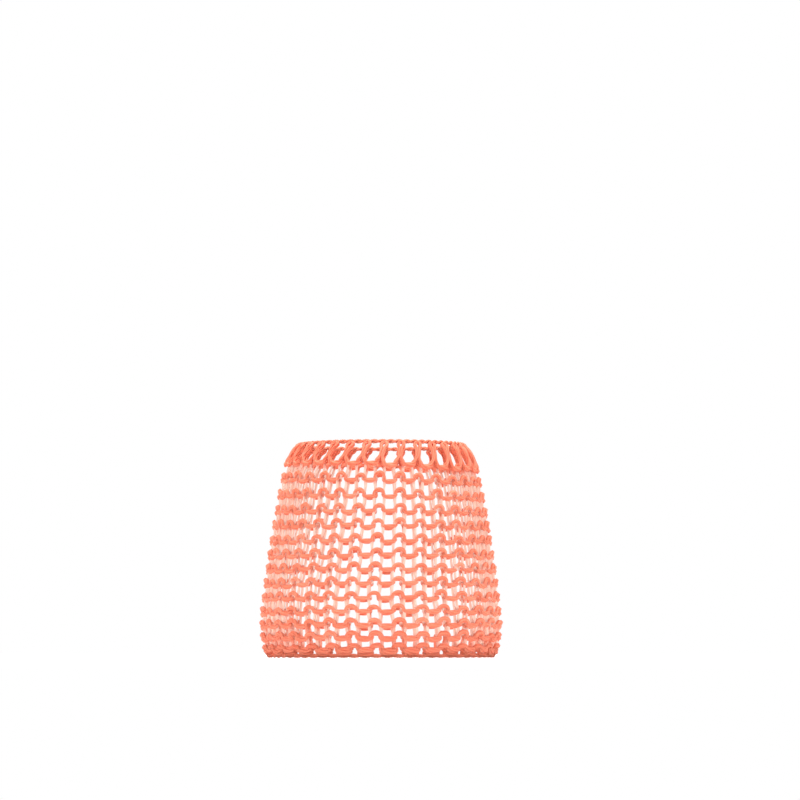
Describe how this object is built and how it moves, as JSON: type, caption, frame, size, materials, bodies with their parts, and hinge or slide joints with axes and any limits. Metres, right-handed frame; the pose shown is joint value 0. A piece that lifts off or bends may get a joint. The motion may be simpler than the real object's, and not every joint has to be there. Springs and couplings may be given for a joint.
{
  "type": "bulb cover sleeve",
  "caption": "Tapered tube of open knitted cotton, open at both ends, that slips over a pear-shaped lamp bulb to soften and tint its light.",
  "frame": {"origin": "middle of the hem opening, on the plane that the hem rests on", "axes": "+Z along the tube's axis, from the wide hem up to the narrow neck"},
  "size_m": [0.0716, 0.0716, 0.063],
  "materials": {
    "yarn": "matte coral cotton yarn"
  },
  "bodies": {
    "root": {"knit_sleeve": "yarn"}
  },
  "joints": []
}
